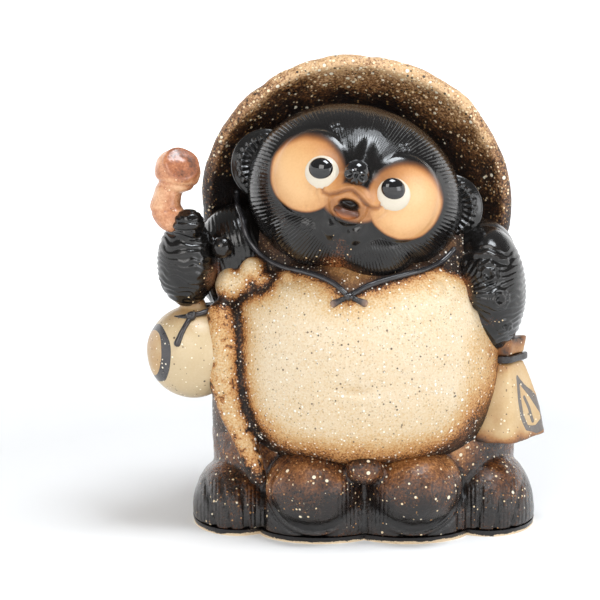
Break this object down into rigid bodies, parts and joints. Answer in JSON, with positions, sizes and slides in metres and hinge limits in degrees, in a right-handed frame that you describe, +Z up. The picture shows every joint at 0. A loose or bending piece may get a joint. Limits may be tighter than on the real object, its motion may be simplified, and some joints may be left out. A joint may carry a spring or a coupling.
{
  "type": "tanuki statue",
  "caption": "Glazed stoneware raccoon-dog figure with straw hat, staff, sake flask and account book, standing on a flat base.",
  "frame": {"origin": "middle of the underside's box, at the ground", "axes": "+Z up, -Y the way the figure faces, +X towards the figure's own left"},
  "size_m": [0.263, 0.1904, 0.31],
  "materials": {
    "bare_clay": "unglazed, matt, sandy",
    "brown_slip": "brown-black glaze with white specks",
    "oatmeal_belly": "matt oatmeal clay, browned at the edge, fine specks",
    "black_fur": "gloss black glaze over combed fur",
    "hat_brown": "brown glaze with sandy specks, pale at the rim",
    "face_tan": "satin tan, sprayed darker at the top edge",
    "muzzle_tan": "satin tan",
    "black_gloss": "gloss black glaze",
    "lip_brown": "satin orange brown",
    "eye_white": "gloss white glaze",
    "staff_red_brown": "satin red brown, grey on top",
    "shaft_oatmeal": "matt oatmeal clay with brown specks",
    "flask_oatmeal": "matt oatmeal clay with a brushed ring",
    "book_oatmeal": "matt oatmeal clay",
    "cord_black": "satin black glaze",
    "foot_black": "brown-black glaze with white specks"
  },
  "bodies": {
    "root": {"base_slab": "bare_clay", "body_front_shell": "brown_slip", "body_back_shell": "brown_slip", "tail": "brown_slip", "belly_dome": "oatmeal_belly", "right_chest_nub": "oatmeal_belly", "left_chest_nub": "oatmeal_belly", "breast_charm": "oatmeal_belly", "head_shell": "black_fur", "right_ear": "black_fur", "left_ear": "black_fur", "right_shoulder": "black_fur", "left_shoulder": "black_fur", "right_arm": "black_fur", "left_arm": "black_fur", "right_paw": "black_fur", "left_paw": "black_fur", "right_elbow_knob": "black_fur", "straw_hat": "hat_brown", "right_cheek_pad": "face_tan", "left_cheek_pad": "face_tan", "muzzle": "muzzle_tan", "nose": "black_gloss", "right_pupil": "black_gloss", "left_pupil": "black_gloss", "lower_lip": "lip_brown", "right_eyeball": "eye_white", "left_eyeball": "eye_white", "staff_head": "staff_red_brown", "staff_shaft": "shaft_oatmeal", "sake_flask": "flask_oatmeal", "account_book": "book_oatmeal", "account_book_collar": "book_oatmeal", "account_book_tie": "cord_black", "chin_strap_right": "cord_black", "chin_strap_left": "cord_black", "chin_strap_knot": "cord_black", "chin_strap_right_end": "cord_black", "chin_strap_left_end": "cord_black", "flask_cord_loop": "cord_black", "flask_cord_knot": "cord_black", "flask_cord_end": "cord_black", "right_foot": "foot_black", "left_foot": "foot_black", "right_bag_skirt": "foot_black", "left_bag_skirt": "foot_black", "right_bag_lobe": "foot_black", "left_bag_lobe": "foot_black", "bag_knob": "foot_black"}
  },
  "joints": []
}
